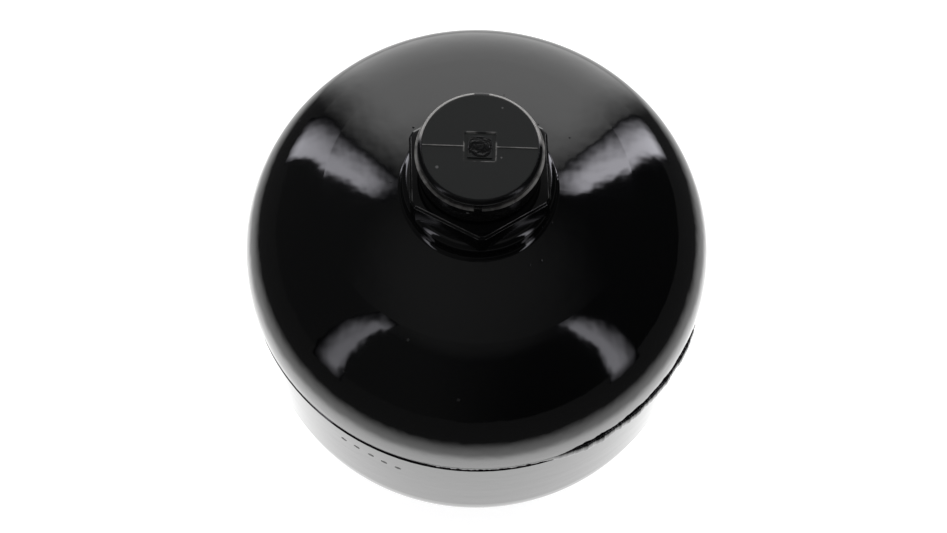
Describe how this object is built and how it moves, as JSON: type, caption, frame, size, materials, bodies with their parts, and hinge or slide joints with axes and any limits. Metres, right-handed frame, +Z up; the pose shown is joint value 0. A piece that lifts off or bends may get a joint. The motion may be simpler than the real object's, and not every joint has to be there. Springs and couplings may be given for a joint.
{
  "type": "diaphragm accumulator",
  "caption": "Welded steel pressure vessel with a rubber diaphragm inside, a hexagon fluid port with a push-on cap on top and a capped gas charging valve below.",
  "frame": {"origin": "centre of the gas cap's underside, on the vessel's axis", "axes": "+Z up along the vessel's axis, out of the fluid port; -Y towards the viewer of the picture and +X to the right"},
  "size_m": [0.15, 0.15, 0.1772],
  "materials": {
    "gloss_black_paint": "gloss",
    "bright_steel": "satin",
    "zinc_steel": "zinc plated",
    "nitrile_rubber": "matt",
    "black_plastic": "satin"
  },
  "bodies": {
    "vessel": {"fluid_shell": "gloss_black_paint", "gas_shell": "gloss_black_paint", "girth_weld": "gloss_black_paint", "backing_ring": "bright_steel", "clamp_ring": "bright_steel", "diaphragm": "nitrile_rubber", "fluid_port": "gloss_black_paint", "port_weld": "gloss_black_paint", "gas_boss": "gloss_black_paint", "gas_boss_weld": "gloss_black_paint"},
    "port_cap": {"port_cap": "black_plastic"},
    "closing_button": {"valve_button": "bright_steel"},
    "charging_screw": {"charging_screw": "zinc_steel", "charging_seal": "nitrile_rubber"},
    "gas_cap": {"gas_cap": "black_plastic"}
  },
  "joints": [
    {"name": "port_cap_lift", "type": "slide", "parent": "vessel", "child": "port_cap", "axis": [0, 0, 1], "range_m": [0, 0.06]},
    {"name": "button_stroke", "type": "slide", "parent": "vessel", "child": "closing_button", "axis": [0, 0, -1], "range_m": [0, 0.075], "stiffness_N_per_m": 30, "springref_m": -0.05, "deforming": ["diaphragm"]},
    {"name": "charging_screw_turn", "type": "hinge", "parent": "vessel", "child": "charging_screw", "pos_m": [0, 0, 0.0095], "axis": [0, 0, -1], "range_deg": [0, 360]},
    {"name": "gas_cap_pull", "type": "slide", "parent": "vessel", "child": "gas_cap", "axis": [0, 0, -1], "range_m": [0, 0.04]}
  ]
}
